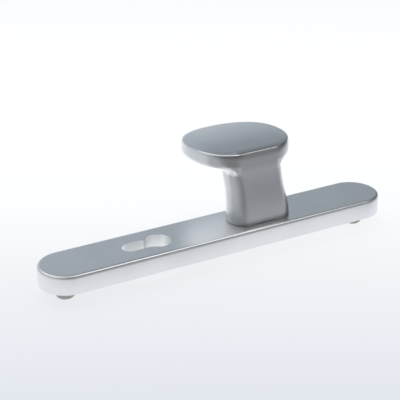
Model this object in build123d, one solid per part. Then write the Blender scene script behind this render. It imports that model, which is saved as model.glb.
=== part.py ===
from build123d import *
import math
import os

# Outer plate of a security door fitting for a narrow frame, with a fixed cranked knob.
# Millimetres. The origin is the plate's centre on the door face. +X runs along the plate
# from the cylinder end to the knob end, +Y is the side that the knob leans to, and +Z
# points away from the door.

# Cover hood, seen from outside
plate_length = 248.0
plate_width = 36.0
plate_height = 12.5
plate_edge_radius = 1.8

# Cover hood, walls
hood_wall = 2.5
hood_top = 3.0
cavity_corner_radius = 1.0

# Euro-profile cut-out: round part, overall height and slot, with the slot towards -X
cylinder_end_distance = 80.5
cutout_round = 17.6
cutout_overall = 33.4
cutout_slot = 10.8
collar_wall = 2.0

# Steel base plate let into the back of the hood
base_thickness = 4.0
base_fit = 0.2
base_edge_chamfer = 0.5

# Threaded posts that go through the door
post_inset = 16.5
post_diameter = 11.5
post_length = 9.7
post_chamfer_width = 0.9
post_spigot = 8.0
post_head_diameter = 10.4
post_head_height = 1.2
post_thread = 6.0
post_thread_depth = 11.5
post_mouth_chamfer_width = 0.5

# Hardened guard round the cylinder, riveted on the base plate
guard_thickness = 3.0
guard_margin = 12.0
guard_fit = 0.3
guard_corner_radius = 3.0
rivet_diameter = 4.0
rivet_head_diameter = 7.0
rivet_head_height = 1.2
rivet_inset = 5.0

# Screws that hold the hood on the base plate
hood_screw_inset = 36.0
hood_screw_edge_distance = 9.0
hood_screw_thread = 4.0
hood_screw_length = 8.0
hood_screw_head = 7.6
hood_boss_diameter = 8.0

# Knob fixing: screws and dowels from behind, through a spacer block
knob_end_distance = 93.6
knob_screw_spacing = 20.0
knob_screw_thread = 6.0
knob_screw_length = 22.0
knob_screw_head = 11.6
knob_dowel_spacing = 13.0
knob_dowel_diameter = 4.0
knob_dowel_length = 16.0
knob_dowel_seat = 3.0
spacer_length = 36.0
spacer_width = 23.0
spacer_corner_radius = 4.0

# Fits that the screws, rivets and dowels share
screw_clearance = 0.25
thread_play = 0.05
bore_runout = 1.5
socket_depth_ratio = 0.42
socket_width_ratio = 0.66

# Knob head: an oval slab, cut straight on its near side, with a slightly crowned top
knob_height = 58.7
head_thickness = 9.6
head_length = 69.0
head_width = 66.0
head_near_cut = 2.1
head_near_y = -0.7
head_squareness = 2.27
head_crown_radius = 455.0
head_corner_radius = 12.0
head_top_edge_radius = 1.0
head_lower_edge_radius = 3.0

# Knob neck: the head overhangs its top, the waist is set in and the foot is set out
head_side_overhang = 13.5
neck_waist_set_in = 0.8
neck_foot_set_out = 1.3
neck_foot_margin = 6.6
neck_top_depth = 20.7
neck_foot_flat = 14.6
neck_waist_flat = 13.6
neck_corner_set_in = 2.0
neck_waist_share = 0.62
neck_crank_start = 0.08
neck_foot_corner_radius = 2.5
neck_top_corner_radius = 4.0
neck_blend_radius = 3.2
neck_blend_turn = 72.0
neck_sections = 7
neck_blend_sections = 4
neck_root_spread = 4.0

# Heights and places that follow from the sizes above
cylinder_x = cylinder_end_distance - plate_length / 2
knob_x = plate_length / 2 - knob_end_distance
hood_underside = plate_height - hood_top
cavity_length = plate_length - 2 * hood_wall
cavity_width = plate_width - 2 * hood_wall
cutout_slot_end = cutout_overall - (cutout_round + cutout_slot) / 2
cutout_middle_x = cylinder_x + cutout_round / 2 - cutout_overall / 2
guard_length = cutout_overall + 2 * (collar_wall + guard_margin)
guard_top = base_thickness + guard_thickness
head_underside = knob_height - head_thickness
neck_height = head_underside - plate_height
head_centre_y = head_near_y + head_width / 2 - head_near_cut
head_near_share = 1 - 2 * head_near_cut / head_width
head_flat = head_length / 2 * (1 - head_near_share ** head_squareness) ** (1 / head_squareness)
neck_top_half_length = head_length / 2 - head_side_overhang
neck_waist_half_length = neck_top_half_length - neck_waist_set_in
neck_foot_half_length = neck_top_half_length + neck_foot_set_out
neck_top_flat = head_flat - neck_corner_set_in
neck_top_far_y = head_near_y + neck_top_depth
neck_foot_depth = plate_width - 2 * neck_foot_margin
post_places = {"left": post_inset - plate_length / 2, "right": plate_length / 2 - post_inset}
rivet_places = [cutout_middle_x + side * (guard_length / 2 - rivet_inset) for side in (-1, 1)]
hood_screw_x = plate_length / 2 - hood_screw_inset
hood_screw_y = plate_width / 2 - hood_screw_edge_distance
hood_screw_places = [(x * hood_screw_x, y * hood_screw_y) for x in (-1, 1) for y in (-1, 1)]
knob_screw_places = [(knob_x + side * knob_screw_spacing / 2, 0) for side in (-1, 1)]
knob_dowel_places = [(knob_x, side * knob_dowel_spacing / 2) for side in (-1, 1)]


def euro_profile(growth=0.0):
    """Outline of the cylinder cut-out round its round part's centre, grown all round."""
    slot_half = cutout_slot / 2 + growth
    outline = Circle(cutout_round / 2 + growth)
    outline += Pos(-cutout_slot_end / 2, 0) * Rectangle(cutout_slot_end, 2 * slot_half)
    outline += Pos(-cutout_slot_end, 0) * Circle(slot_half)
    return outline


def round_bar(diameter, length):
    """Upright bar on the origin."""
    return extrude(Circle(diameter / 2), length)


def revolved(points):
    """Solid of revolution about Z from (radius, height) corners."""
    return revolve(Plane.XZ * make_face(Polyline(*points, close=True)), Axis.Z)


def countersink(head_diameter, hole_diameter):
    """Countersunk hole's cone, wide end on the door face."""
    depth = (head_diameter - hole_diameter) / 2
    return revolved([(0, 0), (head_diameter / 2, 0), (hole_diameter / 2, depth), (0, depth)])


def countersunk_screw(thread, length, head_diameter):
    """Hexagon-socket countersunk screw, its head flush with the door face."""
    radius = thread / 2
    head_radius = head_diameter / 2
    cone = head_radius - radius
    tip = thread / 8
    body = revolved([
        (0, 0),
        (head_radius, 0),
        (radius, cone),
        (radius, length - tip),
        (radius - tip, length),
        (0, length),
    ])
    socket = extrude(RegularPolygon(socket_width_ratio * radius, 6), socket_depth_ratio * thread)
    return body - socket


def screw_hole(thread, head_diameter):
    """Clearance hole through the base plate with its countersink."""
    hole_diameter = thread + 2 * screw_clearance
    sink = countersink(head_diameter + 2 * screw_clearance, hole_diameter)
    return round_bar(hole_diameter, base_thickness) + sink


def smooth_step(share):
    """Goes from 0 to 1 with level ends."""
    share = min(max(share, 0.0), 1.0)
    return share * share * (3 - 2 * share)


def blend(start, end, share):
    """Value at a share of the way from start to end."""
    return start + (end - start) * smooth_step(share)


def by_waist(foot, waist, top, share):
    """Value that runs from the foot over the waist to the top."""
    if share < neck_waist_share:
        return blend(foot, waist, share / neck_waist_share)
    return blend(waist, top, (share - neck_waist_share) / (1 - neck_waist_share))


def make_cover_hood():
    hood = extrude(SlotOverall(plate_length, plate_width), plate_height)
    hood = fillet(hood.edges().group_by(Axis.Z)[-1], plate_edge_radius)
    cavity = extrude(SlotOverall(cavity_length, cavity_width), hood_underside)
    hood -= fillet(cavity.edges().group_by(Axis.Z)[-1], cavity_corner_radius)
    collar_height = plate_height - plate_edge_radius - base_thickness
    hood += Pos(cylinder_x, 0, base_thickness) * extrude(euro_profile(collar_wall), collar_height)
    hood -= Pos(cylinder_x, 0) * extrude(euro_profile(), plate_height)
    boss_height = plate_height - plate_edge_radius - base_thickness
    boss = round_bar(hood_boss_diameter, boss_height)
    bore = round_bar(hood_screw_thread + 2 * thread_play, hood_underside - base_thickness)
    for x, y in hood_screw_places:
        hood += Pos(x, y, base_thickness) * boss
        hood -= Pos(x, y, base_thickness) * bore
    for x, y in knob_screw_places:
        hood -= Pos(x, y) * round_bar(knob_screw_thread + 2 * screw_clearance, plate_height)
    for x, y in knob_dowel_places:
        hood -= Pos(x, y) * round_bar(knob_dowel_diameter + 2 * thread_play, plate_height)
    return hood


def make_base_plate():
    outline = SlotOverall(cavity_length - 2 * base_fit, cavity_width - 2 * base_fit)
    plate = extrude(outline, base_thickness)
    plate = chamfer(plate.edges().group_by(Axis.Z)[-1], base_edge_chamfer)
    plate -= Pos(cylinder_x, 0) * extrude(euro_profile(), base_thickness)
    for x in post_places.values():
        plate -= Pos(x, 0) * round_bar(post_spigot + 2 * thread_play, base_thickness)
    for x in rivet_places:
        plate -= Pos(x, 0) * round_bar(rivet_diameter + 2 * thread_play, base_thickness)
        plate -= Pos(x, 0) * countersink(rivet_head_diameter, rivet_diameter)
    for x, y in hood_screw_places:
        plate -= Pos(x, y) * screw_hole(hood_screw_thread, hood_screw_head)
    for x, y in knob_screw_places:
        plate -= Pos(x, y) * screw_hole(knob_screw_thread, knob_screw_head)
    seat = round_bar(knob_dowel_diameter + 2 * thread_play, knob_dowel_seat)
    for x, y in knob_dowel_places:
        plate -= Pos(x, y, base_thickness - knob_dowel_seat) * seat
    return plate


def make_drill_guard():
    guard = RectangleRounded(guard_length, cavity_width - 2 * guard_fit, guard_corner_radius)
    guard = Pos(cutout_middle_x, 0, base_thickness) * extrude(guard, guard_thickness)
    collar_room = extrude(euro_profile(collar_wall + guard_fit), guard_thickness)
    guard -= Pos(cylinder_x, 0, base_thickness) * collar_room
    for x in rivet_places:
        guard -= Pos(x, 0, base_thickness) * round_bar(rivet_diameter + 2 * thread_play, guard_thickness)
    return guard


def make_guard_rivet(x):
    radius = rivet_diameter / 2
    sunk_radius = rivet_head_diameter / 2 - thread_play
    closed_top = guard_top + rivet_head_height
    rivet = revolved([
        (0, 0),
        (sunk_radius, 0),
        (radius, sunk_radius - radius),
        (radius, guard_top),
        (rivet_head_diameter / 2, guard_top),
        (radius, closed_top),
        (0, closed_top),
    ])
    return Pos(x, 0) * rivet


def make_knob_spacer():
    block = RectangleRounded(spacer_length, spacer_width, spacer_corner_radius)
    height = hood_underside - base_thickness
    spacer = Pos(knob_x, 0, base_thickness) * extrude(block, height)
    for x, y in knob_screw_places:
        spacer -= Pos(x, y, base_thickness) * round_bar(knob_screw_thread + 2 * screw_clearance, height)
    for x, y in knob_dowel_places:
        spacer -= Pos(x, y, base_thickness) * round_bar(knob_dowel_diameter + 2 * thread_play, height)
    return spacer


def make_mounting_post(x):
    radius = post_diameter / 2
    spigot = post_spigot / 2
    head_radius = post_head_diameter / 2
    head_top = base_thickness + post_head_height
    post = revolved([
        (0, -post_length),
        (radius - post_chamfer_width, -post_length),
        (radius, -post_length + post_chamfer_width),
        (radius, 0),
        (spigot, 0),
        (spigot, base_thickness),
        (head_radius, base_thickness),
        (spigot, head_top),
        (0, head_top),
    ])
    bore_radius = post_thread / 2
    mouth = bore_radius + post_mouth_chamfer_width
    bore_end = -post_length + post_thread_depth
    post -= revolved([
        (0, -post_length),
        (mouth, -post_length),
        (bore_radius, -post_length + post_mouth_chamfer_width),
        (bore_radius, bore_end - bore_radius / 2),
        (0, bore_end),
    ])
    return Pos(x, 0) * post


def neck_section(height, growth=0.0):
    """Cross-section at a height above the plate, grown on all but its near side."""
    share = height / neck_height
    crank = (share - neck_crank_start) / (1 - neck_crank_start)
    near_y = blend(-neck_foot_depth / 2, head_near_y, crank)
    far_y = blend(neck_foot_depth / 2, neck_top_far_y, crank) + growth
    half_length = by_waist(neck_foot_half_length, neck_waist_half_length, neck_top_half_length, share)
    half_length += growth
    flat = by_waist(neck_foot_flat, neck_waist_flat, neck_top_flat, share)
    middle_y = (near_y + far_y) / 2
    corner_radius = neck_foot_corner_radius + share * (neck_top_corner_radius - neck_foot_corner_radius)
    outline = [
        Line((-flat, near_y), (flat, near_y)),
        ThreePointArc((flat, near_y), (half_length, middle_y), (flat, far_y)),
        Line((flat, far_y), (-flat, far_y)),
        ThreePointArc((-flat, far_y), (-half_length, middle_y), (-flat, near_y)),
    ]
    section = make_face(outline)
    return fillet(section.vertices(), corner_radius)


def make_neck():
    """Lofted neck that flares under the head and widens on inside it."""
    turn = math.radians(neck_blend_turn)
    blend_start = neck_height - neck_blend_radius * math.sin(turn)
    sections = []
    for step in range(neck_sections + 1):
        height = blend_start * step / neck_sections
        sections.append(Pos(0, 0, plate_height + height) * neck_section(height))
    flared = []
    for step in range(neck_blend_sections + 1):
        angle = turn * step / neck_blend_sections
        height = blend_start + neck_blend_radius * math.sin(angle)
        growth = neck_blend_radius * (1 - math.cos(angle))
        flared.append(Pos(0, 0, plate_height + height) * neck_section(height, growth))
    spread = neck_blend_radius * (1 - math.cos(turn)) + neck_root_spread
    root_level = head_underside + head_lower_edge_radius
    root_section = Pos(0, 0, root_level) * neck_section(neck_height, spread)
    root = loft([flared[-1], root_section])
    root += extrude(root_section, head_thickness - 2 * head_lower_edge_radius)
    return loft(sections) + loft(flared) + (root & head_column())


def head_outline():
    """Oval of the head, between a circle and a rectangle, cut straight on the near side."""
    half_length = head_length / 2
    half_width = head_width / 2
    power = 2 / head_squareness
    start = -math.asin(head_near_share ** (1 / power))
    count = 20
    points = []
    for step in range(count + 1):
        angle = start + (math.pi - 2 * start) * step / count
        reach_x = math.copysign(abs(math.cos(angle)) ** power, math.cos(angle))
        reach_y = math.copysign(abs(math.sin(angle)) ** power, math.sin(angle))
        points.append((half_length * reach_x, head_centre_y + half_width * reach_y))
    return make_face([Spline(*points), Line(points[-1], points[0])])


def head_column():
    """Upright bar with the head's outline, soft at the two near corners."""
    column = Pos(0, 0, head_underside - head_thickness) * extrude(head_outline(), 3 * head_thickness)
    return fillet(column.edges().filter_by(Axis.Z), head_corner_radius)


def make_head():
    """Slab of even thickness under a crowned top, with a soft near rim."""
    ring = Circle(head_crown_radius) - Circle(head_crown_radius - head_thickness)
    crown = extrude(Plane.YZ * ring, head_length, both=True)
    head = head_column() & (Pos(0, head_near_y, knob_height - head_crown_radius) * crown)
    top = head.faces().sort_by(Axis.Z)[-1]
    head = fillet(top.edges(), head_top_edge_radius)
    bottom = head.faces().sort_by(Axis.Z)[0]
    return fillet(bottom.edges(), head_lower_edge_radius)


def make_knob():
    knob = Pos(knob_x, 0) * (make_neck() + make_head())
    screw_bore_depth = knob_screw_length - plate_height + bore_runout
    for x, y in knob_screw_places:
        bore = round_bar(knob_screw_thread + 2 * thread_play, screw_bore_depth)
        knob -= Pos(x, y, plate_height) * bore
    dowel_top = base_thickness - knob_dowel_seat + knob_dowel_length
    for x, y in knob_dowel_places:
        bore = round_bar(knob_dowel_diameter + 2 * thread_play, dowel_top - plate_height + bore_runout)
        knob -= Pos(x, y, plate_height) * bore
    return knob


def make_knob_dowel(x, y):
    dowel = round_bar(knob_dowel_diameter, knob_dowel_length)
    dowel = chamfer(dowel.edges().filter_by(GeomType.CIRCLE), knob_dowel_diameter / 10)
    return Pos(x, y, base_thickness - knob_dowel_seat) * dowel


def make_parts():
    parts = {
        "cover_hood": make_cover_hood(),
        "base_plate": make_base_plate(),
        "drill_guard": make_drill_guard(),
        "knob_spacer": make_knob_spacer(),
        "knob": make_knob(),
    }
    for side, x in post_places.items():
        parts["mounting_post_" + side] = make_mounting_post(x)
    for number, x in enumerate(rivet_places, 1):
        parts[f"guard_rivet_{number}"] = make_guard_rivet(x)
    for number, (x, y) in enumerate(hood_screw_places, 1):
        screw = countersunk_screw(hood_screw_thread, hood_screw_length, hood_screw_head)
        parts[f"hood_screw_{number}"] = Pos(x, y) * screw
    for number, (x, y) in enumerate(knob_screw_places, 1):
        screw = countersunk_screw(knob_screw_thread, knob_screw_length, knob_screw_head)
        parts[f"knob_screw_{number}"] = Pos(x, y) * screw
    for number, (x, y) in enumerate(knob_dowel_places, 1):
        parts[f"knob_dowel_{number}"] = make_knob_dowel(x, y)
    return parts


os.makedirs("parts", exist_ok=True)
for name, shape in make_parts().items():
    export_step(shape, f"parts/{name}.step")
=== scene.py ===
import math

import bpy
import numpy as np
from bpy.props import FloatProperty, FloatVectorProperty, PointerProperty
from mathutils import Matrix, Vector


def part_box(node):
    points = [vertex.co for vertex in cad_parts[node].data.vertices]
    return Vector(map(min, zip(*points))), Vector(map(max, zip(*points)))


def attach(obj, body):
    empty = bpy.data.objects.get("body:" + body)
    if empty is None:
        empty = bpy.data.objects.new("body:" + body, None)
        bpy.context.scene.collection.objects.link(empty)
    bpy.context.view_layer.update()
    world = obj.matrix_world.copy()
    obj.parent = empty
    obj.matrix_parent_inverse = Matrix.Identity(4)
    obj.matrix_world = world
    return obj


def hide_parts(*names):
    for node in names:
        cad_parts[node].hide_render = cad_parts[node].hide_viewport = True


bl_info = {
    "name": "Security door plate",
    "version": (1, 0, 0),
    "blender": (4, 5, 0),
    "location": "View3D > Sidebar > Door plate",
    "description": "Builds the looks of a security door plate with a cranked fixed knob",
    "category": "Object",
}

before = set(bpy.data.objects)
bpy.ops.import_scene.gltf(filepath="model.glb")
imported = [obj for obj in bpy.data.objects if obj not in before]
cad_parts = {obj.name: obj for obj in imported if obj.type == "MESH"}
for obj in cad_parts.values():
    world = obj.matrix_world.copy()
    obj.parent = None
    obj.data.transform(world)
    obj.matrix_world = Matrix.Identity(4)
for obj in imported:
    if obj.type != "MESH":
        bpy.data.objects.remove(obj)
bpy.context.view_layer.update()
HOOD_LOW, HOOD_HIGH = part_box("cover_hood")
KNOB_LOW, KNOB_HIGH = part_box("knob")
POST_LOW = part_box("mounting_post_left")[0]
MM = 0.001

# Hood: steps and shape of its rounded edge, and the cut-out's shaded wall as shares of the round's diameter
EDGE_STEPS = 14
EDGE_SHAPE = 0.63
SHADED_WALL = (-0.52, -0.30)

# Knob: points of a ring along the near side and round the rest, and the rings' spacing before they are shaped
NEAR_POINTS = 32
FAR_POINTS = 112
RING_STEP = 1.0 * MM

# Neck: number of rings, shares of its height where the crank starts and where its waist is, softness of its
# corners in millimetres (near side at foot and head, far side), and points that a section is worked out on
NECK_STEPS = 30
CRANK_START = 0.08
WAIST = 0.62
NEAR_SOFTNESS = (0.16, 0.26)
FAR_SOFTNESS = 0.6
OUTLINE_POINTS = 1441
FLAT_POINTS = 121

# Head: its outline is between a circle (2) and a rectangle. The softness of its near corners and the top's
# middle are in millimetres. The underside has a flat where it is wider than the ledge's share of its edges.
OVAL_POWER = 2.27
OVAL_POINTS = 2881
CORNER_SOFTNESS = 0.15
QUARTER_STEPS = 7
FLAT_STEPS = 5
LEDGE = 1.3
TOP_MIDDLE = 30.0
TOP_SHARES = (0.985, 0.96, 0.9, 0.8, 0.7, 0.6, 0.5, 0.4, 0.3, 0.2, 0.1, 0.04)

# Satin metal: an unstretched pattern, scale of its clouds, spread of its roughness and depth of its grain
UNSTRETCHED = (1.0, 1.0, 1.0)
CLOUD_SCALE = 38.0
ROUGHNESS_SPREAD = 0.03
GRAIN_DEPTH = 0.05 * MM

# Floor: colours at distances beyond the plate's middle in metres, a painted falloff of light that is darker
# towards the viewer, their share in it, and what the metal sees
FLOOR_PAINTED_FALLOFF = (
    (-0.16, (0.775, 0.802, 0.858)),
    (-0.116, (0.821, 0.847, 0.897)),
    (-0.045, (0.897, 0.901, 0.939)),
    (0.023, (0.958, 0.965, 0.983)),
    (0.086, (1.007, 1.017, 1.035)),
    (0.178, (1.03, 1.03, 1.03)),
    (0.265, (1.05, 1.05, 1.05)),
    (0.455, (1.017, 1.017, 1.02)),
    (0.60, (0.988, 0.994, 1.006)),
)
FLOOR_SHARE = 0.86
FLOOR_MIRRORED = (0.955, 0.97, 1.01, 1)
FLOOR_RADIUS = 6.0

# What only the metal sees, as tones at compass angles in degrees from +X: cards on the floor, then the dome
# low, half-way and high up. The cards start and fade over distances past the plate's outline. The dome's
# rings blend between angles above the horizon. The greys are a little cool, more so where the sky would be.
CARD_TONES = (
    (0, 0.66), (25, 1.00), (50, 1.10), (100, 1.12), (122, 0.86), (145, 0.79), (162, 0.76), (180, 0.72),
    (192, 0.62), (201, 0.51), (215, 0.35), (229, 0.27), (246, 0.27), (259, 0.31), (285, 0.41), (340, 0.46),
    (360, 0.66),
)
LOW_TONES = (
    (0, 0.20), (20, 0.08), (36, 0.22), (52, 0.90), (75, 1.00), (105, 0.85), (125, 0.60), (160, 0.40),
    (184, 0.48), (203, 0.54), (222, 0.50), (238, 0.32), (253, 0.30), (278, 0.40), (300, 0.42), (335, 0.34),
    (360, 0.20),
)
MID_TONES = (
    (0, 0.15), (22, 0.12), (42, 0.295), (54, 0.37), (70, 0.445), (100, 0.52), (121, 0.48), (141, 0.42),
    (161, 0.40), (181, 0.52), (201, 0.42), (221, 0.22), (240, 0.18), (260, 0.22), (300, 0.30), (335, 0.22),
    (360, 0.15),
)
HIGH_TONES = (
    (0, 0.10), (70, 0.10), (90, 0.60), (108, 1.60), (140, 1.60), (165, 1.00), (200, 0.80), (235, 0.60),
    (265, 0.15), (290, 0.10), (360, 0.10),
)
CARD_SIDE = 3.0
CARD_LIFT = 0.2 * MM
CARD_CENTRE = (20 * MM, 0.0)
CARD_START = (26 * MM, 54 * MM)
CARD_FADE = (62 * MM, 142 * MM)
CARD_LIGHT = (1.06, 0.92)
DOME_RADIUS = 3.0
LOW_TO_MID = (2, 16)
MID_TO_HIGH = (31, 43)
COOL_GREEN = 0.05
COOL_BLUE = 0.10
SKY_ANGLE = 62
SKY_REACH = 40
LOW_SKY = 0.6
MID_SKY = 2.3

# Soft box overhead, also seen by the metal alone: tones at shares of its length
BOX_TONES = ((0.40, 1.05), (0.46, 0.75), (0.60, 0.75), (0.70, 1.55), (0.81, 1.55), (0.93, 1.05))
BOX_SIZE = (2.1, 0.84, 1.0)
BOX_PLACE = (-0.12, 0.10, 1.0)
BOX_TURN = math.radians(-30)

# Lamp, and the room's light on all but what the camera and the metal see
LAMP_PLACE = Vector((-0.15, 0.25, 1.10))
LAMP_AIM = Vector((0.0, 0.0, 0.02))
ROOM_COLOUR = (0.93, 0.96, 1.0, 1)
WHITE = (1.0, 1.0, 1.0, 1)
SENSOR_WIDTH = 36.0
CAMERA_RANGE = (0.01, 50.0)


def length_prop(name, description, default):
    """Length of zero or more, in metres."""
    return FloatProperty(
        name=name, description=description, default=default, min=0.0, unit="LENGTH", precision=5)


def place_prop(name, description, default):
    """Place along an axis, in metres, on either side of the middle."""
    return FloatProperty(name=name, description=description, default=default, unit="LENGTH", precision=5)


def angle_prop(name, description, degrees):
    """Angle, given in degrees."""
    return FloatProperty(name=name, description=description, default=math.radians(degrees), subtype="ANGLE")


def number_prop(name, description, default):
    """Number of zero or more."""
    return FloatProperty(name=name, description=description, default=default, min=0.0)


def colour_prop(name, description, default):
    """Colour of three parts."""
    return FloatVectorProperty(
        name=name, description=description, default=default, size=3, min=0.0, max=1.0, subtype="COLOR")


class HoodSizes(bpy.types.PropertyGroup):
    """Sizes of the cover hood, in metres"""
    length: length_prop("Length", "Overall length of the hood", HOOD_HIGH.x - HOOD_LOW.x)
    width: length_prop("Width", "Overall width of the hood", HOOD_HIGH.y - HOOD_LOW.y)
    height: length_prop("Height", "Height of the hood above the door", HOOD_HIGH.z)
    edge_reach: length_prop("Edge reach", "How far the upper edge's soft rounding reaches", 2.5 * MM)
    wall: length_prop("Wall", "Thickness of the side wall", 2.5 * MM)
    top: length_prop("Top", "Thickness of the top", 3.0 * MM)
    cylinder_x: place_prop("Cylinder place", "Place of the cut-out's round part along the plate", -43.5 * MM)
    cutout_round: length_prop("Cut-out diameter", "Diameter of the cut-out's round part", 17.6 * MM)
    cutout_overall: length_prop("Cut-out overall", "Overall length of the cut-out", 33.4 * MM)
    cutout_slot: length_prop("Cut-out slot", "Width of the cut-out's slot", 10.8 * MM)
    cutout_edge: length_prop("Cut-out edge", "Broken edge round the cut-out", 0.25 * MM)
    collar: length_prop("Collar", "Wall of the collar round the cut-out", 2.0 * MM)


class KnobSizes(bpy.types.PropertyGroup):
    """Sizes of the cranked knob, in metres"""
    place_x: place_prop("Place", "Place of the knob's middle along the plate", (KNOB_LOW.x + KNOB_HIGH.x) / 2)
    top: length_prop("Top", "Height of the knob's top above the door", KNOB_HIGH.z)
    foot_length: length_prop("Foot length", "Length of the neck's foot along the plate", 44.6 * MM)
    foot_depth: length_prop("Foot depth", "Depth of the neck's foot across the plate", 22.8 * MM)
    foot_edge: length_prop("Foot edge", "Broken edge round the neck's foot", 0.7 * MM)
    waist_length: length_prop("Waist length", "Length of the neck's waist along the plate", 40.4 * MM)
    neck_length: length_prop("Neck length", "Length of the neck under the head", 41.6 * MM)
    neck_depth: length_prop("Neck depth", "Depth of the neck under the head", 20.7 * MM)
    low_flat: length_prop("Lower flat", "Length of the neck's flats up to its waist", 27.0 * MM)
    high_flat: length_prop("Upper flat", "Length of the neck's flats under the head", 25.8 * MM)
    flare: length_prop("Flare", "Blend between the neck and the head", 5.0 * MM)
    thickness: length_prop("Head thickness", "Thickness of the knob's head", 9.6 * MM)
    head_length: length_prop("Head length", "Length of the head along the plate", 69.0 * MM)
    head_width: length_prop("Head width", "Width of the head's uncut oval", 66.0 * MM)
    near_y: place_prop("Near side", "Place of the head's straight near side", -1.2 * MM)
    near_cut: length_prop("Near cut", "Depth that the straight near side takes off the oval", 2.1 * MM)
    low_edge: length_prop("Low edge", "Rounding of the head's lower edge", 3.0 * MM)
    crown: length_prop("Crown radius", "Radius of the crowned top", 455.0 * MM)
    top_edge: length_prop("Top edge", "Length of the tight turn at the head's top edge", 0.9 * MM)
    near_shoulder: length_prop("Near shoulder", "Length of the top's soft near shoulder", 6.0 * MM)
    near_fall: length_prop("Near fall", "Length of the soft fall into the near wall", 5.8 * MM)


class FinishColours(bpy.types.PropertyGroup):
    """Colours of the metals"""
    hood: colour_prop("Hood", "Satin metal of the hood", (0.785, 0.79, 0.795))
    # Cut-out walls: colour with painted light, lighter than the hood's where they are lit
    cutout: colour_prop("Cut-out", "Brighter metal of the cut-out's walls", (0.88, 0.90, 0.895))
    knob: colour_prop("Knob", "Satin metal of the knob", (0.685, 0.685, 0.695))
    posts: colour_prop("Posts", "Turned steel of the posts", (0.31, 0.305, 0.285))
    base: colour_prop("Base plate", "Plated steel of the base plate", (0.62, 0.63, 0.62))
    guard: colour_prop("Guard", "Dark hardened steel of the guard", (0.30, 0.30, 0.32))
    screws: colour_prop("Screws", "Plated steel of the screws, rivets and pins", (0.66, 0.66, 0.66))


class StageSettings(bpy.types.PropertyGroup):
    """Camera, floor and light"""
    azimuth: angle_prop("Azimuth", "Camera's turn round the plate", -29.331)
    elevation: angle_prop("Elevation", "Camera's height angle", 25.066)
    distance: length_prop("Distance", "Camera's distance from the plate's middle", 0.82185)
    side_shift: place_prop("Side shift", "Camera's place to the right of the middle", -0.0110987)
    up_shift: place_prop("Up shift", "Camera's place above the middle", 0.0277695)
    lens: number_prop("Lens", "Focal length on a 36 mm wide picture, in mm", 113.8995)
    floor_colour: colour_prop("Floor", "Pale floor", (0.90, 0.905, 0.92))
    room_light: number_prop("Room light", "Strength of the room's even light", 0.75)
    lamp_power: number_prop("Lamp power", "Power of the lamp overhead, in watts", 3.0)
    lamp_size: length_prop("Lamp size", "Side of the square lamp overhead", 0.9)


def settings():
    """Scene that holds the groups of sizes and colours."""
    return bpy.context.scene


def in_millimetres(group):
    """Sizes of a group by name, in millimetres."""
    return {name: getattr(group, name) / MM for name in group.__annotations__}


def clear_selection():
    if bpy.context.object and bpy.context.object.mode != "OBJECT":
        bpy.ops.object.mode_set(mode="OBJECT")
    bpy.ops.object.select_all(action="DESELECT")


def make_active(piece):
    clear_selection()
    piece.select_set(True)
    bpy.context.view_layer.objects.active = piece


def place_in_mesh(piece):
    """Moves the object's place into its mesh, so that the object sits at the origin."""
    make_active(piece)
    bpy.ops.object.transform_apply(location=True, rotation=True, scale=True)


def pick_in_edit(piece, kind, test):
    """Selects the piece's vertices, edges or faces that pass the test, and stays in edit mode."""
    make_active(piece)
    bpy.ops.object.mode_set(mode="EDIT")
    bpy.ops.mesh.select_mode(type=kind)
    bpy.ops.mesh.select_all(action="DESELECT")
    bpy.ops.object.mode_set(mode="OBJECT")
    items = {"VERT": piece.data.vertices, "EDGE": piece.data.edges, "FACE": piece.data.polygons}[kind]
    for item in items:
        item.select = test(item)
    bpy.ops.object.mode_set(mode="EDIT")


def leave_edit():
    bpy.ops.object.mode_set(mode="OBJECT")


def boolean(piece, tool, operation):
    """Joins the tool to the piece or cuts it out, and removes the tool."""
    make_active(piece)
    step = piece.modifiers.new("cut", "BOOLEAN")
    step.operation = operation
    step.solver = "EXACT"
    step.object = tool
    bpy.ops.object.modifier_apply(modifier=step.name)
    bpy.data.objects.remove(tool)


def smooth_metal(piece, angle):
    """Smooth shading with even highlights on flats beside roundings."""
    make_active(piece)
    bpy.ops.object.shade_smooth_by_angle(angle=math.radians(angle))
    step = piece.modifiers.new("even_normals", "WEIGHTED_NORMAL")
    step.keep_sharp = True
    step.weight = 60
    bpy.ops.object.modifier_apply(modifier=step.name)


def dress(piece, name, finish):
    """Names the piece and gives it its finish."""
    piece.name = name
    piece.data.materials.clear()
    piece.data.materials.append(finish)


def cylinder(radius, low, high, x=0.0, sides=96, turn=0.0):
    """Upright cylinder over the plate's middle line."""
    clear_selection()
    middle = (x, 0, (low + high) / 2)
    bpy.ops.mesh.primitive_cylinder_add(
        vertices=sides, radius=radius, depth=high - low, location=middle, rotation=(0, 0, turn))
    piece = bpy.context.object
    place_in_mesh(piece)
    return piece


def stretched_bar(length, width, low, high, sides=160):
    """Upright bar with full round ends, from a cylinder whose halves are moved apart."""
    bar = cylinder(width / 2, low, high, sides=sides, turn=math.pi / sides)
    reach = (length - width) / 2
    for side in (-1, 1):
        pick_in_edit(bar, "VERT", lambda v: v.co.x * side > 0)
        bpy.ops.transform.translate(value=(side * reach, 0, 0))
        leave_edit()
    return bar


def cutout_plug(sizes, growth, low, high):
    """Solid in the shape of the Euro-profile cut-out, grown all round."""
    slot_half = sizes.cutout_slot / 2 + growth
    slot_end = sizes.cutout_overall - (sizes.cutout_round + sizes.cutout_slot) / 2
    plug = cylinder(sizes.cutout_round / 2 + growth, low, high, x=sizes.cylinder_x)
    clear_selection()
    middle = (sizes.cylinder_x - slot_end / 2, 0, (low + high) / 2)
    bpy.ops.mesh.primitive_cube_add(size=1.0, location=middle, scale=(slot_end, 2 * slot_half, high - low))
    slot = bpy.context.object
    place_in_mesh(slot)
    boolean(plug, slot, "UNION")
    boolean(plug, cylinder(slot_half, low, high, x=sizes.cylinder_x - slot_end, sides=64), "UNION")
    return plug


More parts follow.
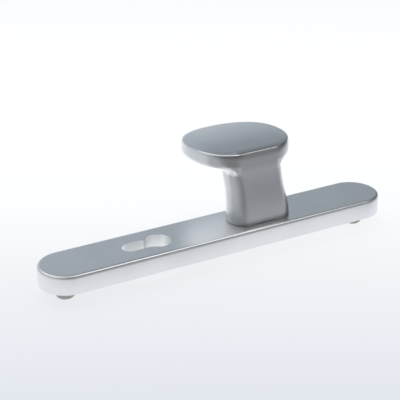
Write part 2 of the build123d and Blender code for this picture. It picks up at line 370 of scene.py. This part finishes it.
class Wiring:
    """Short way to wire a node tree. An outlet is a node and the name of one of its outputs."""

    def __init__(self, tree):
        self.tree = tree
        self.tree.nodes.clear()

    def add(self, kind, **values):
        node = self.tree.nodes.new(kind)
        for key, value in values.items():
            setattr(node, key, value)
        return node

    def feed(self, node, socket, part):
        """Links an outlet to the socket, or sets the socket to a plain value."""
        if isinstance(part, tuple) and isinstance(part[0], bpy.types.Node):
            self.tree.links.new(part[0].outputs[part[1]], node.inputs[socket])
        else:
            node.inputs[socket].default_value = part

    def combine(self, operation, *parts):
        """Outlet of a sum on outlets and plain values."""
        node = self.add("ShaderNodeMath", operation=operation)
        for index, part in enumerate(parts):
            self.feed(node, index, part)
        return node, "Value"

    def mix_shaders(self, share, first, second):
        node = self.add("ShaderNodeMixShader")
        for socket, part in (("Fac", share), (1, first), (2, second)):
            self.feed(node, socket, part)
        return node, "Shader"


class Finish(Wiring):
    """Material with a plain shader on its output."""

    def __init__(self, name):
        self.material = bpy.data.materials.new(name)
        self.material.use_nodes = True
        super().__init__(self.material.node_tree)
        self.out = self.add("ShaderNodeOutputMaterial")
        self.shader = self.add("ShaderNodeBsdfPrincipled")
        self.show((self.shader, "BSDF"))

    def show(self, outlet):
        """Puts the outlet on the surface."""
        self.feed(self.out, "Surface", outlet)

    def place(self):
        """Outlet of the place on the piece, in its own coordinates."""
        return self.add("ShaderNodeTexCoord"), "Object"

    def split(self, outlet):
        """Outlets of a vector's three parts."""
        node = self.add("ShaderNodeSeparateXYZ")
        self.feed(node, "Vector", outlet)
        return (node, "X"), (node, "Y"), (node, "Z")

    def vector(self, operation, first, second, output):
        node = self.add("ShaderNodeVectorMath", operation=operation)
        self.feed(node, 0, first)
        self.feed(node, 1, second)
        return node, output

    def fade(self, outlet, first, last, low=0.0, high=1.0, kind="SMOOTHSTEP"):
        """Outlet that goes from low to high while another goes from first to last."""
        node = self.add("ShaderNodeMapRange", interpolation_type=kind)
        for socket, value in (("From Min", first), ("From Max", last), ("To Min", low), ("To Max", high)):
            self.feed(node, socket, value)
        self.feed(node, "Value", outlet)
        return node, "Result"

    def ramp(self, outlet, stops, kind="LINEAR"):
        """Outlet of the colours at shares of a way, where another outlet says how far along."""
        node = self.add("ShaderNodeValToRGB")
        node.color_ramp.interpolation = kind
        elements = node.color_ramp.elements
        while len(elements) < len(stops):
            elements.new(0.5)
        for element, (share, colour) in zip(elements, stops):
            element.position = share
            element.color = (*colour, 1)
        self.feed(node, "Fac", outlet)
        return node, "Color"

    def noise(self, scale, detail, stretch=UNSTRETCHED):
        turn = self.add("ShaderNodeMapping")
        self.feed(turn, "Scale", stretch)
        self.feed(turn, "Vector", self.place())
        node = self.add("ShaderNodeTexNoise")
        self.feed(node, "Scale", scale)
        self.feed(node, "Detail", detail)
        self.feed(node, "Vector", (turn, "Vector"))
        return node, "Fac"

    def spread(self, noise, low, high):
        """Noise stretched over a range."""
        return self.fade(noise, 0.3, 0.7, low, high, kind="LINEAR")

    def mix_colours(self, share, first, second):
        node = self.add("ShaderNodeMix", data_type="RGBA")
        for socket, part in (("Factor", share), ("A", first), ("B", second)):
            self.feed(node, socket, part)
        return node, "Result"

    def light(self, colour, strength=1.0):
        node = self.add("ShaderNodeEmission")
        self.feed(node, "Color", colour)
        self.feed(node, "Strength", strength)
        return node, "Emission"


def knob_painted_light(finish):
    """Painted light and shade on the knob: share of its colour by place, from ranges in millimetres."""
    sizes = settings().door_plate_knob
    x, y, z = finish.split(finish.place())
    left = finish.combine("SUBTRACT", sizes.place_x, x)
    aside = finish.combine("ABSOLUTE", left)
    height = finish.combine("SUBTRACT", z, settings().door_plate_hood.height)
    above = finish.combine("SUBTRACT", z, sizes.top - sizes.thickness)
    back = finish.combine("SUBTRACT", y, sizes.near_y)
    drop = finish.combine("MULTIPLY", finish.combine("MULTIPLY", back, back), 1 / (2 * sizes.crown))
    depth = finish.combine("SUBTRACT", sizes.top, finish.combine("ADD", z, drop))

    def area(*ranges):
        """Product of fades, each over a range of an outlet."""
        shares = [finish.fade(outlet, first * MM, last * MM, *ends) for outlet, first, last, *ends in ranges]
        whole = shares[0]
        for share in shares[1:]:
            whole = finish.combine("MULTIPLY", whole, share)
        return whole

    # Painted shadow at the near side of the foot, and painted shade up the neck's two near corners and on the
    # near half of the head
    foot = area((height, 0, 4.6, 0.45, 0.0), (y, -7, 2, 1.0, 0.0))
    neck_corner_painted_shade = area((height, 0, 18, 0.34, 0.0), (aside, 16.5, 19.5), (y, -5.5, -0.5, 1.0, 0.0))
    near_half_painted_shade = area((above, -4, 2), (y, 12, 40, 0.18, 0.0), (aside, 24, 33, 1.0, 0.15))
    # Painted shade in a band just under the top edge, on the left of the head
    under_rim_painted_shade = area(
        (depth, 0.6, 0.95), (depth, 1.5, 2.6, 0.36, 0.0),
        (left, 8, 14), (left, 22, 30, 1.0, 0.0), (y, 12, 20, 1.0, 0.0))
    # Painted highlights in the blend under the head and along the left of the top edge
    under_head_painted_highlight = area((aside, 12.5, 15), (y, 3, 10, 0.45, 0.12), (above, -6, -3.5), (above, 0.3, 2, 1.0, 0.0))
    left_rim_painted_highlight = area((depth, 0.06, 0.22), (depth, 0.9, 1.3, 0.45, 0.0), (left, 13, 16), (y, 14, 24, 1.0, 0.0))
    # Painted shade taken off and painted highlights added, as one share of the knob's colour
    painted_shade = finish.combine("ADD", finish.combine("MAXIMUM", foot, neck_corner_painted_shade), near_half_painted_shade)
    painted_shade = finish.combine("ADD", painted_shade, under_rim_painted_shade)
    painted_highlight = finish.combine("ADD", under_head_painted_highlight, left_rim_painted_highlight)
    return finish.combine("SUBTRACT", finish.combine("ADD", painted_highlight, 1.0), painted_shade)


def satin_metal(
        name, colour, roughness, grain=2600.0, relief=0.02, shade=0.03, stretch=UNSTRETCHED, tone=None):
    """Fine-blasted satin metal: a slight cloud in tone, and grain in gloss and relief; a given tone adds
    painted light and shade by place.
    """
    finish = Finish(name)
    shader = finish.shader
    finish.feed(shader, "Metallic", 1.0)
    darker = (*[part * (1 - shade) for part in colour], 1)
    paler = (*[min(1.0, part * (1 + shade)) for part in colour], 1)
    cloud = finish.spread(finish.noise(CLOUD_SCALE, detail=3.0), 0.0, 1.0)
    tint = finish.mix_colours(cloud, darker, paler)
    # Optional painted light and shade: the colour scaled by place
    if tone:
        painted_light_tint = finish.add("ShaderNodeVectorMath", operation="SCALE")
        finish.feed(painted_light_tint, 0, tint)
        finish.feed(painted_light_tint, "Scale", tone(finish))
        tint = (painted_light_tint, "Vector")
    finish.feed(shader, "Base Color", tint)
    fine = finish.noise(grain, detail=2.0, stretch=stretch)
    gloss = finish.spread(fine, roughness - ROUGHNESS_SPREAD, roughness + ROUGHNESS_SPREAD)
    finish.feed(shader, "Roughness", gloss)
    bump = finish.add("ShaderNodeBump")
    finish.feed(bump, "Strength", relief)
    finish.feed(bump, "Distance", GRAIN_DEPTH)
    finish.feed(bump, "Height", fine)
    finish.feed(shader, "Normal", (bump, "Normal"))
    return finish.material


def smooth_step(share):
    share = min(max(share, 0.0), 1.0)
    return share * share * (3 - 2 * share)


def between(low, high, share):
    return low + (high - low) * share


def soft_floor(values, floor, softness):
    """Values held above a floor, with a rounded turn into it."""
    return floor + softness * np.logaddexp(0.0, (values - floor) / softness)


def spaced(points, count):
    """Points at even steps along an open line."""
    steps = np.linalg.norm(np.diff(points, axis=0), axis=1)
    reach = np.concatenate([[0.0], np.cumsum(steps)])
    at = np.linspace(0.0, reach[-1], count)
    return np.column_stack([np.interp(at, reach, points[:, 0]), np.interp(at, reach, points[:, 1])])


def ring_of(outline, corner_x, middle_y):
    """Ring of points round a closed outline: along the near side between its corners, then round the rest."""
    near = (np.abs(outline[:, 0]) < corner_x) & (outline[:, 1] < middle_y)
    rest = outline[~near]
    turn = np.arctan2(rest[:, 1] - middle_y, rest[:, 0]) + math.pi / 2
    rest = rest[np.argsort(np.mod(turn, 2 * math.pi))]
    front = outline[near]
    front = front[np.argsort(front[:, 0])]
    front = np.vstack([rest[-1:], front, rest[:1]])
    return np.vstack([spaced(front, NEAR_POINTS + 1)[:-1], spaced(rest, FAR_POINTS + 1)[:-1]])


def lifted(ring, height):
    """Ring at a height, or at a height for each of its points."""
    return np.column_stack([ring, np.broadcast_to(height, len(ring))])


def crown_drop(size, y):
    """How far the crowned top has dropped at a place across the plate."""
    return size["crown"] - np.sqrt(size["crown"] ** 2 - (y - size["near_y"]) ** 2)


def neck_ring(size, height, neck_height):
    """Neck's cross-section at a height: bulging sides between two flats, all softened at the corners."""
    share = height / neck_height
    crank = smooth_step((share - CRANK_START) / (1 - CRANK_START))
    near = between(-size["foot_depth"] / 2, size["near_y"], (crank + min(share, 1.0)) / 2)
    far = between(size["foot_depth"] / 2, size["near_y"] + size["neck_depth"], crank)
    if share < WAIST:
        half = between(size["foot_length"], size["waist_length"], smooth_step(share / WAIST)) / 2
        flat = size["low_flat"] / 2
    else:
        above = smooth_step((share - WAIST) / (1 - WAIST))
        half = between(size["waist_length"], size["neck_length"], above) / 2
        flat = between(size["low_flat"], size["high_flat"], above) / 2
    bulge = half - flat
    deep = (far - near) / 2
    radius = (deep * deep + bulge * bulge) / (2 * bulge)
    middle = (near + far) / 2
    angle = np.linspace(-math.pi, math.pi, OUTLINE_POINTS)[:-1]
    across = np.sign(np.cos(angle)) * (half - radius) + radius * np.cos(angle)
    along = middle + radius * np.sin(angle)
    flat_x = np.linspace(radius - half, half - radius, FLAT_POINTS)
    sides = [np.full(FLAT_POINTS, middle - radius), np.full(FLAT_POINTS, middle + radius)]
    across = np.concatenate([across, flat_x, flat_x])
    along = np.concatenate([along, *sides])
    along = soft_floor(along, near, between(*NEAR_SOFTNESS, min(share, 1.0)))
    along = -soft_floor(-along, -far, FAR_SOFTNESS)
    return ring_of(np.column_stack([across, along]), flat, middle)


def head_ring(size, growth=0.0):
    """Head's outline: an oval between a circle and a rectangle, cut straight on the near side."""
    half_length = size["head_length"] / 2
    half_width = size["head_width"] / 2
    middle = size["near_y"] + half_width - size["near_cut"]
    angle = np.linspace(-math.pi, math.pi, OVAL_POINTS)[:-1]
    cosine, sine = np.cos(angle), np.sin(angle)
    across = (half_length + growth) * np.sign(cosine) * np.abs(cosine) ** (2 / OVAL_POWER)
    along = middle + (half_width + growth) * np.sign(sine) * np.abs(sine) ** (2 / OVAL_POWER)
    along = soft_floor(along, size["near_y"] - growth, CORNER_SOFTNESS)
    share = 1 - size["near_cut"] / half_width
    corner = half_length * (1 - share ** OVAL_POWER) ** (1 / OVAL_POWER)
    return ring_of(np.column_stack([across, along]), corner, middle)


def soft_edge(spans, steps=6):
    """Way in from the wall and way down from the top round a soft edge, for spans of length and tilt."""
    tilt, length = [], []
    for reach, first, last in spans:
        for step in range(steps):
            tilt.append(math.radians(between(first, last, (step + 0.5) / steps)))
            length.append(reach / steps)
    inward = np.cumsum([0.0] + [r * math.cos(t) for r, t in zip(length, tilt)])
    down = np.cumsum([0.0] + [r * math.sin(t) for r, t in zip(length, tilt)])
    return [(inward[-1] - i, d) for i, d in zip(inward, down)][::-1]


def neck_rings(size, foot, neck_height):
    """Rings from the neck's foot up to the start of its flare."""
    edge = size["foot_edge"]
    first = neck_ring(size, 0.0, neck_height)
    rings = [lifted(first - edge * first / np.linalg.norm(first, axis=1)[:, None], foot)]
    for step in range(NECK_STEPS + 1):
        height = between(edge, neck_height - size["flare"], step / NECK_STEPS)
        rings.append(lifted(neck_ring(size, height, neck_height), foot + height))
    return rings


def underside_rings(size, inner, outer, under):
    """Rings from the neck out to the head's wall: flare, flat underside and rounded lower edge."""
    flare, low = size["flare"], size["low_edge"]
    reach = np.linalg.norm(outer - inner, axis=1)
    way = (outer - inner) / np.maximum(reach, 1e-9)[:, None]
    scale = np.minimum(1.0, reach / (flare + low))
    ledge = np.array([smooth_step(share) for share in reach / (LEDGE * (flare + low))])
    quarter = [math.pi / 2 * step / QUARTER_STEPS for step in range(1, QUARTER_STEPS + 1)]
    path = []
    for turn in quarter:
        path.append((flare * scale * (1 - math.cos(turn)), flare * math.sin(turn)))
    for step in range(1, FLAT_STEPS + 1):
        path.append((flare * scale + (reach - (flare + low) * scale) * step / FLAT_STEPS, flare))
    for turn in quarter:
        path.append((reach - low * scale * (1 - math.sin(turn)), flare + low * (1 - math.cos(turn))))
    rings = []
    for index, (out, rise) in enumerate(path, 1):
        share = index / len(path)
        out = out * ledge + reach * share * (2 - share) * (1 - ledge)
        rise = rise * ledge + (flare + low) * share * (1 - ledge)
        spot = inner + way * out[:, None]
        rings.append(lifted(spot, under - flare + rise - crown_drop(size, spot[:, 1])))
    return rings


def head_rings(size, outer, under):
    """Rings up the head's wall, round its top edge and in to the middle of its crowned top."""
    top, edge, fall = size["top"], size["top_edge"], size["near_fall"]
    near_edge = soft_edge(
        ((size["near_shoulder"], 0, 10), (edge, 10, 52), (0.52 * fall, 52, 70), (0.48 * fall, 70, 90)))
    round_edge = soft_edge(((1.5, 0, 6), (1.2 * edge, 6, 78), (0.8, 78, 84), (0.8, 84, 90)))
    course = np.roll(outer, -1, axis=0) - np.roll(outer, 1, axis=0)
    facing = np.clip(course[:, 0] / np.linalg.norm(course, axis=1), 0.0, 1.0) ** 3
    wall_high = top - facing * near_edge[0][1] - (1 - facing) * round_edge[0][1]
    wall_middle = (under + size["low_edge"] + wall_high) / 2
    rings = [lifted(outer, wall_middle - crown_drop(size, outer[:, 1]))]
    for (near_in, near_down), (round_in, round_down) in zip(near_edge, round_edge):
        ring = between(head_ring(size, -round_in), head_ring(size, -near_in), facing[:, None])
        down = between(round_down, near_down, facing)
        rings.append(lifted(ring, top - down - crown_drop(size, ring[:, 1])))
    rim = rings[-1][:, :2]
    middle = np.array([0.0, TOP_MIDDLE])
    for share in TOP_SHARES:
        ring = between(middle, rim, share)
        rings.append(lifted(ring, top - crown_drop(size, ring[:, 1])))
    return rings


def knob_rings(size, foot):
    """All rings of the knob from its foot to the middle of its crowned top, in millimetres."""
    under = size["top"] - size["thickness"]
    neck_height = under - foot
    inner = neck_ring(size, neck_height - size["flare"], neck_height)
    outer = head_ring(size)
    neck = neck_rings(size, foot, neck_height)
    return neck + underside_rings(size, inner, outer, under) + head_rings(size, outer, under)


def floor_finish(colour, turn):
    """Pale floor that keeps soft shadows, with a painted falloff of light, darker towards the viewer."""
    finish = Finish("pale_floor")
    finish.feed(finish.shader, "Roughness", 0.9)
    finish.feed(finish.shader, "Base Color", (*colour, 1))
    away = finish.vector("DOT_PRODUCT", finish.place(), (-math.sin(turn), math.cos(turn), 0.0), "Value")
    first, last = FLOOR_PAINTED_FALLOFF[0][0], FLOOR_PAINTED_FALLOFF[-1][0]
    stops = [((reach - first) / (last - first), tone) for reach, tone in FLOOR_PAINTED_FALLOFF]
    seen = finish.light(finish.ramp(finish.fade(away, first, last, kind="LINEAR"), stops))
    paper = finish.mix_shaders(FLOOR_SHARE, (finish.shader, "BSDF"), seen)
    path = finish.add("ShaderNodeLightPath")
    by_metal = finish.combine("MAXIMUM", (path, "Is Glossy Ray"), (path, "Is Transmission Ray"))
    finish.show(finish.mix_shaders(by_metal, paper, finish.light(FLOOR_MIRRORED)))
    return finish.material


def compass_share(finish, centre=(0.0, 0.0)):
    """Compass angle of a place on the stage round a centre, as a share of a full turn from +X."""
    x, y, _ = finish.split(finish.vector("SUBTRACT", finish.place(), (*centre, 0.0), "Vector"))
    angle = finish.combine("ARCTAN2", y, x)
    return finish.combine("FRACT", finish.combine("MULTIPLY_ADD", angle, 1 / (2 * math.pi), 1.0))


def tone_ring(finish, turn, tones, sky=0.0):
    """Slightly cool greys at compass angles, blended round the turn, and cooler where the sky would be."""
    stops = []
    for angle, tone in tones:
        cool = 1 + sky * max(0.0, 1 - abs(angle - SKY_ANGLE) / SKY_REACH)
        colour = (tone, tone * (1 + COOL_GREEN * cool), tone * (1 + COOL_BLUE * cool))
        stops.append((angle / 360, colour))
    return finish.ramp(turn, stops)


def card_finish():
    """Grey cards lying round the plate, which only the metal sees; clear beside the plate."""
    finish = Finish("floor_card")
    half_width = HOOD_HIGH.y
    x, y, _ = finish.split(finish.place())
    past_end = finish.combine("SUBTRACT", finish.combine("ABSOLUTE", x), HOOD_HIGH.x - half_width)
    spot = finish.add("ShaderNodeCombineXYZ")
    finish.feed(spot, "X", finish.combine("MAXIMUM", past_end, 0.0))
    finish.feed(spot, "Y", y)
    reach = finish.add("ShaderNodeVectorMath", operation="LENGTH")
    finish.feed(reach, 0, (spot, "Vector"))
    past_outline = finish.combine("SUBTRACT", (reach, "Value"), half_width)
    tones = tone_ring(finish, compass_share(finish, CARD_CENTRE), CARD_TONES)
    grey = finish.light(tones, finish.fade(past_outline, *CARD_FADE, *CARD_LIGHT))
    clear = finish.add("ShaderNodeBsdfTransparent")
    finish.show(finish.mix_shaders(finish.fade(past_outline, *CARD_START), (clear, "BSDF"), grey))
    return finish.material


def dome_finish():
    """Surroundings that only the metal sees: bright behind and high at the left, darker in front."""
    finish = Finish("studio_dome")
    turn = compass_share(finish)
    height = finish.split(finish.place())[2]
    tone = tone_ring(finish, turn, LOW_TONES, LOW_SKY)
    middle = tone_ring(finish, turn, MID_TONES, MID_SKY)
    upper = tone_ring(finish, turn, HIGH_TONES)
    for ring, angles in ((middle, LOW_TO_MID), (upper, MID_TO_HIGH)):
        first, last = (DOME_RADIUS * math.sin(math.radians(angle)) for angle in angles)
        tone = finish.mix_colours(finish.fade(height, first, last), tone, ring)
    finish.show(finish.light(tone))
    return finish.material


def soft_box_finish():
    """Large soft box overhead: weaker above the plate, and a stronger band across its right half."""
    finish = Finish("soft_box")
    share = finish.combine("ADD", finish.split(finish.place())[0], 0.5)
    stops = [(reach, (tone, tone, tone)) for reach, tone in BOX_TONES]
    finish.show(finish.light(finish.ramp(share, stops, "EASE")))
    return finish.material


def name_and_finish(name, finish):
    """Names the stage object that was just added, and gives it its finish."""
    item = bpy.context.object
    item.name = name
    item.data.materials.append(finish)
    return item


def add_floor(stage, level):
    bpy.ops.mesh.primitive_circle_add(
        vertices=64, radius=FLOOR_RADIUS, fill_type="NGON", location=(0, 0, level))
    place_in_mesh(bpy.context.object)
    return name_and_finish("floor", floor_finish(stage.floor_colour, stage.azimuth))


def add_surroundings(level):
    """Cards, dome and soft box, which only the metal's gloss sees."""
    bpy.ops.mesh.primitive_plane_add(size=CARD_SIDE, location=(0, 0, level))
    place_in_mesh(bpy.context.object)
    card = name_and_finish("floor_card", card_finish())
    bpy.ops.mesh.primitive_uv_sphere_add(segments=64, ring_count=32, radius=DOME_RADIUS, location=(0, 0, 0))
    dome = name_and_finish("studio_dome", dome_finish())
    bpy.ops.mesh.primitive_plane_add(size=1.0, location=(0, 0, 0))
    box = name_and_finish("soft_box", soft_box_finish())
    box.scale = BOX_SIZE
    box.location = BOX_PLACE
    box.rotation_euler = (0, 0, BOX_TURN)
    for surround in (card, dome, box):
        surround.visible_camera = False
        surround.visible_diffuse = False
        surround.visible_shadow = False
        surround.visible_transmission = False
    return card, dome, box


def light_room(scene, strength):
    """Even light from the room, which the camera and the metal see as white."""
    scene.world = bpy.data.worlds.new("studio")
    scene.world.use_nodes = True
    room = Wiring(scene.world.node_tree)
    lit = room.add("ShaderNodeBackground")
    room.feed(lit, "Color", ROOM_COLOUR)
    room.feed(lit, "Strength", strength)
    white = room.add("ShaderNodeBackground")
    room.feed(white, "Color", WHITE)
    path = room.add("ShaderNodeLightPath")
    seen = (path, "Is Camera Ray")
    for ray in ("Is Glossy Ray", "Is Transmission Ray"):
        seen = room.combine("MAXIMUM", seen, (path, ray))
    both = room.mix_shaders(seen, (lit, "Background"), (white, "Background"))
    room.feed(room.add("ShaderNodeOutputWorld"), "Surface", both)


def add_lamp(scene, size, power):
    """Square lamp overhead, which isn't mirrored."""
    light = bpy.data.lights.new("top_lamp", "AREA")
    light.shape = "SQUARE"
    light.size = size
    light.energy = power
    lamp = bpy.data.objects.new("top_lamp", light)
    scene.collection.objects.link(lamp)
    turn = (LAMP_AIM - LAMP_PLACE).to_track_quat("-Z", "Y")
    lamp.matrix_world = Matrix.Translation(LAMP_PLACE) @ turn.to_matrix().to_4x4()
    lamp.visible_glossy = False


def add_camera(scene, stage):
    """Camera that looks along its angles, moved sideways and up from the middle."""
    turn, rise = stage.azimuth, stage.elevation
    back = Vector((math.sin(turn) * math.cos(rise), -math.cos(turn) * math.cos(rise), math.sin(rise)))
    right = Vector((math.cos(turn), math.sin(turn), 0.0))
    up = back.cross(right)
    data = bpy.data.cameras.new("camera")
    data.sensor_width = SENSOR_WIDTH
    data.lens = stage.lens
    data.clip_start, data.clip_end = CAMERA_RANGE
    camera = bpy.data.objects.new("camera", data)
    scene.collection.objects.link(camera)
    spot = back * stage.distance + right * stage.side_shift + up * stage.up_shift
    camera.matrix_world = Matrix.Translation(spot) @ Matrix((right, up, back)).transposed().to_4x4()
    scene.camera = camera


class SCENE_OT_door_plate_stage(bpy.types.Operator):
    """Floor, surroundings, lamp and camera"""
    bl_idname = "scene.door_plate_stage"
    bl_label = "Stage"

    def execute(self, context):
        stage = settings().door_plate_stage
        clear_selection()
        floor_level = POST_LOW.z - 0.05 * MM
        floor = add_floor(stage, floor_level)
        card, dome, box = add_surroundings(floor_level + CARD_LIFT)
        light_room(context.scene, stage.room_light)
        add_lamp(context.scene, stage.lamp_size, stage.lamp_power)
        add_camera(context.scene, stage)
        context.scene.view_settings.view_transform = "Standard"
        return {"FINISHED"}


class SCENE_OT_door_plate_hood(bpy.types.Operator):
    """Cover hood with its rounded edge, cavity, collar and Euro-profile cut-out"""
    bl_idname = "scene.door_plate_hood"
    bl_label = "Cover hood"

    def execute(self, context):
        sizes = settings().door_plate_hood
        hood = stretched_bar(sizes.length, sizes.width, 0.0, sizes.height)

        # Rounded upper edge, then the cavity
        pick_in_edit(hood, "FACE", lambda f: f.normal.z > 0.9)
        bpy.ops.mesh.region_to_loop()
        bpy.ops.mesh.bevel(offset=sizes.edge_reach, segments=EDGE_STEPS, profile=EDGE_SHAPE, affect="EDGES")
        leave_edit()
        pick_in_edit(hood, "FACE", lambda f: f.normal.z < -0.9)
        bpy.ops.mesh.inset(thickness=sizes.wall, depth=0.0)
        rise = (0, 0, sizes.height - sizes.top)
        bpy.ops.mesh.extrude_region_move(TRANSFORM_OT_translate={"value": rise})
        leave_edit()

        # Collar, and the cut-out through it
        base_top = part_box("base_plate")[1].z
        past = 1.0 * MM
        boolean(hood, cutout_plug(sizes, sizes.collar, base_top, sizes.height - past), "UNION")
        boolean(hood, cutout_plug(sizes, 0.0, -past, sizes.height + past), "DIFFERENCE")

        def round_side(point):
            """Place to the right of the round part's middle, in its diameters."""
            return (point.x - sizes.cylinder_x) / sizes.cutout_round

        def by_cutout(point):
            across = abs(point.y) < sizes.cutout_round / 2 + 0.1 * MM
            return across and -sizes.cutout_overall / sizes.cutout_round < round_side(point) < 1

        def on_upper_rim(edge):
            ends = [hood.data.vertices[index].co for index in edge.vertices]
            return all(by_cutout(end) and end.z > sizes.height - 0.01 * MM for end in ends)

        pick_in_edit(hood, "EDGE", on_upper_rim)
        bpy.ops.mesh.bevel(offset=sizes.cutout_edge, segments=3, profile=0.5, affect="EDGES")
        leave_edit()
        smooth_metal(hood, angle=35)

        # Cut-out walls with painted light, lighter than the hood, apart from the wall in shade, which keeps
        # the hood's colour
        dress(hood, "hood_shell", bpy.data.materials["hood_satin"])
        hood.data.materials.append(bpy.data.materials["hood_cut_painted_light"])
        for face in hood.data.polygons:
            shaded = SHADED_WALL[0] < round_side(face.center) < SHADED_WALL[1]
            if by_cutout(face.center) and not shaded and abs(face.normal.z) < 0.1:
                face.material_index = 1
        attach(hood, "root")
        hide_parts("cover_hood")
        return {"FINISHED"}


class SCENE_OT_door_plate_knob(bpy.types.Operator):
    """Cranked knob: flared neck and crowned oval head in one piece"""
    bl_idname = "scene.door_plate_knob"
    bl_label = "Knob"

    def execute(self, context):
        sizes = settings().door_plate_knob
        plate_top = settings().door_plate_hood.height
        rings = knob_rings(in_millimetres(sizes), plate_top / MM)
        count = NEAR_POINTS + FAR_POINTS

        # Straight tube, whose rings then take their shapes
        clear_selection()
        bpy.ops.mesh.primitive_circle_add(
            vertices=count, radius=20 * MM, fill_type="NOTHING", location=(0, 0, 0))
        knob = bpy.context.object
        bpy.ops.object.mode_set(mode="EDIT")
        bpy.ops.mesh.select_all(action="SELECT")
        for _ in rings[1:]:
            bpy.ops.mesh.extrude_region_move(TRANSFORM_OT_translate={"value": (0, 0, RING_STEP)})
        bpy.ops.mesh.edge_face_add()
        leave_edit()
        for vertex in knob.data.vertices:
            ring = rings[round(vertex.co.z / RING_STEP)]
            turn = math.atan2(vertex.co.y, vertex.co.x) / (2 * math.pi)
            x, y, z = ring[round(turn * count) % count]
            vertex.co = Vector((x * MM + sizes.place_x, y * MM, z * MM))

        # Middle of the top, and the flat foot
        pick_in_edit(knob, "FACE", lambda f: len(f.vertices) > 4)
        bpy.ops.mesh.poke()
        leave_edit()
        pick_in_edit(knob, "VERT", lambda v: v.co.z < plate_top + 0.001 * MM)
        bpy.ops.mesh.edge_face_add()
        bpy.ops.mesh.select_all(action="SELECT")
        bpy.ops.mesh.normals_make_consistent(inside=False)
        leave_edit()
        make_active(knob)
        bpy.ops.object.shade_smooth_by_angle(angle=math.radians(40))
        dress(knob, "knob_casting", bpy.data.materials["knob_satin_painted_light"])
        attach(knob, "root")
        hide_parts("knob")
        return {"FINISHED"}


class SCENE_OT_door_plate_finishes(bpy.types.Operator):
    """Metals of the hood, knob, posts and the pieces behind the plate"""
    bl_idname = "scene.door_plate_finishes"
    bl_label = "Finishes"

    def execute(self, context):
        colours = settings().door_plate_finishes
        satin_metal("hood_satin", colours.hood, 0.30)
        # Cut-out walls with painted light
        satin_metal("hood_cut_painted_light", colours.cutout, 0.36, shade=0.02)
        # Knob: satin metal with painted light and shade by place
        satin_metal("knob_satin_painted_light", colours.knob, 0.30, tone=knob_painted_light)
        turned = {"grain": 900.0, "relief": 0.15, "shade": 0.05, "stretch": (0.05, 0.05, 6.0)}
        post = satin_metal("post_turned", colours.posts, 0.30, **turned)
        base = satin_metal("base_plated", colours.base, 0.38, shade=0.06)
        guard = satin_metal("guard_hardened", colours.guard, 0.45, shade=0.08)
        screw = satin_metal("screw_plated", colours.screws, 0.30, shade=0.05)
        metals = {
            "mounting_post_left": post,
            "mounting_post_right": post,
            "base_plate": base,
            "knob_spacer": base,
            "drill_guard": guard,
        }
        for name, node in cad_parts.items():
            if name in ("cover_hood", "knob"):
                continue
            for slot in node.material_slots:
                slot.material = metals.get(name, screw)
        return {"FINISHED"}


class VIEW3D_PT_door_plate(bpy.types.Panel):
    """Sidebar panel of the door plate"""
    bl_idname = "VIEW3D_PT_door_plate"
    bl_label = "Door plate"
    bl_space_type = "VIEW_3D"
    bl_region_type = "UI"
    bl_category = "Door plate"

    def draw(self, context):
        for group in GROUPS:
            box = self.layout.box()
            values = getattr(context.scene, group)
            for name in values.__annotations__:
                box.prop(values, name)
        for operator in OPERATORS:
            self.layout.operator(operator.bl_idname)


GROUPS = {
    "door_plate_hood": HoodSizes,
    "door_plate_knob": KnobSizes,
    "door_plate_finishes": FinishColours,
    "door_plate_stage": StageSettings,
}
OPERATORS = (
    SCENE_OT_door_plate_stage,
    SCENE_OT_door_plate_finishes,
    SCENE_OT_door_plate_hood,
    SCENE_OT_door_plate_knob,
)


def register():
    for name, group in GROUPS.items():
        bpy.utils.register_class(group)
        setattr(bpy.types.Scene, name, PointerProperty(type=group))
    for operator in OPERATORS:
        bpy.utils.register_class(operator)
    bpy.utils.register_class(VIEW3D_PT_door_plate)


def unregister():
    bpy.utils.unregister_class(VIEW3D_PT_door_plate)
    for operator in reversed(OPERATORS):
        bpy.utils.unregister_class(operator)
    for name, group in GROUPS.items():
        delattr(bpy.types.Scene, name)
        bpy.utils.unregister_class(group)


def main():
    register()
    bpy.ops.scene.door_plate_stage()
    bpy.ops.scene.door_plate_finishes()
    bpy.ops.scene.door_plate_hood()
    bpy.ops.scene.door_plate_knob()


if __name__ == "__main__":
    main()
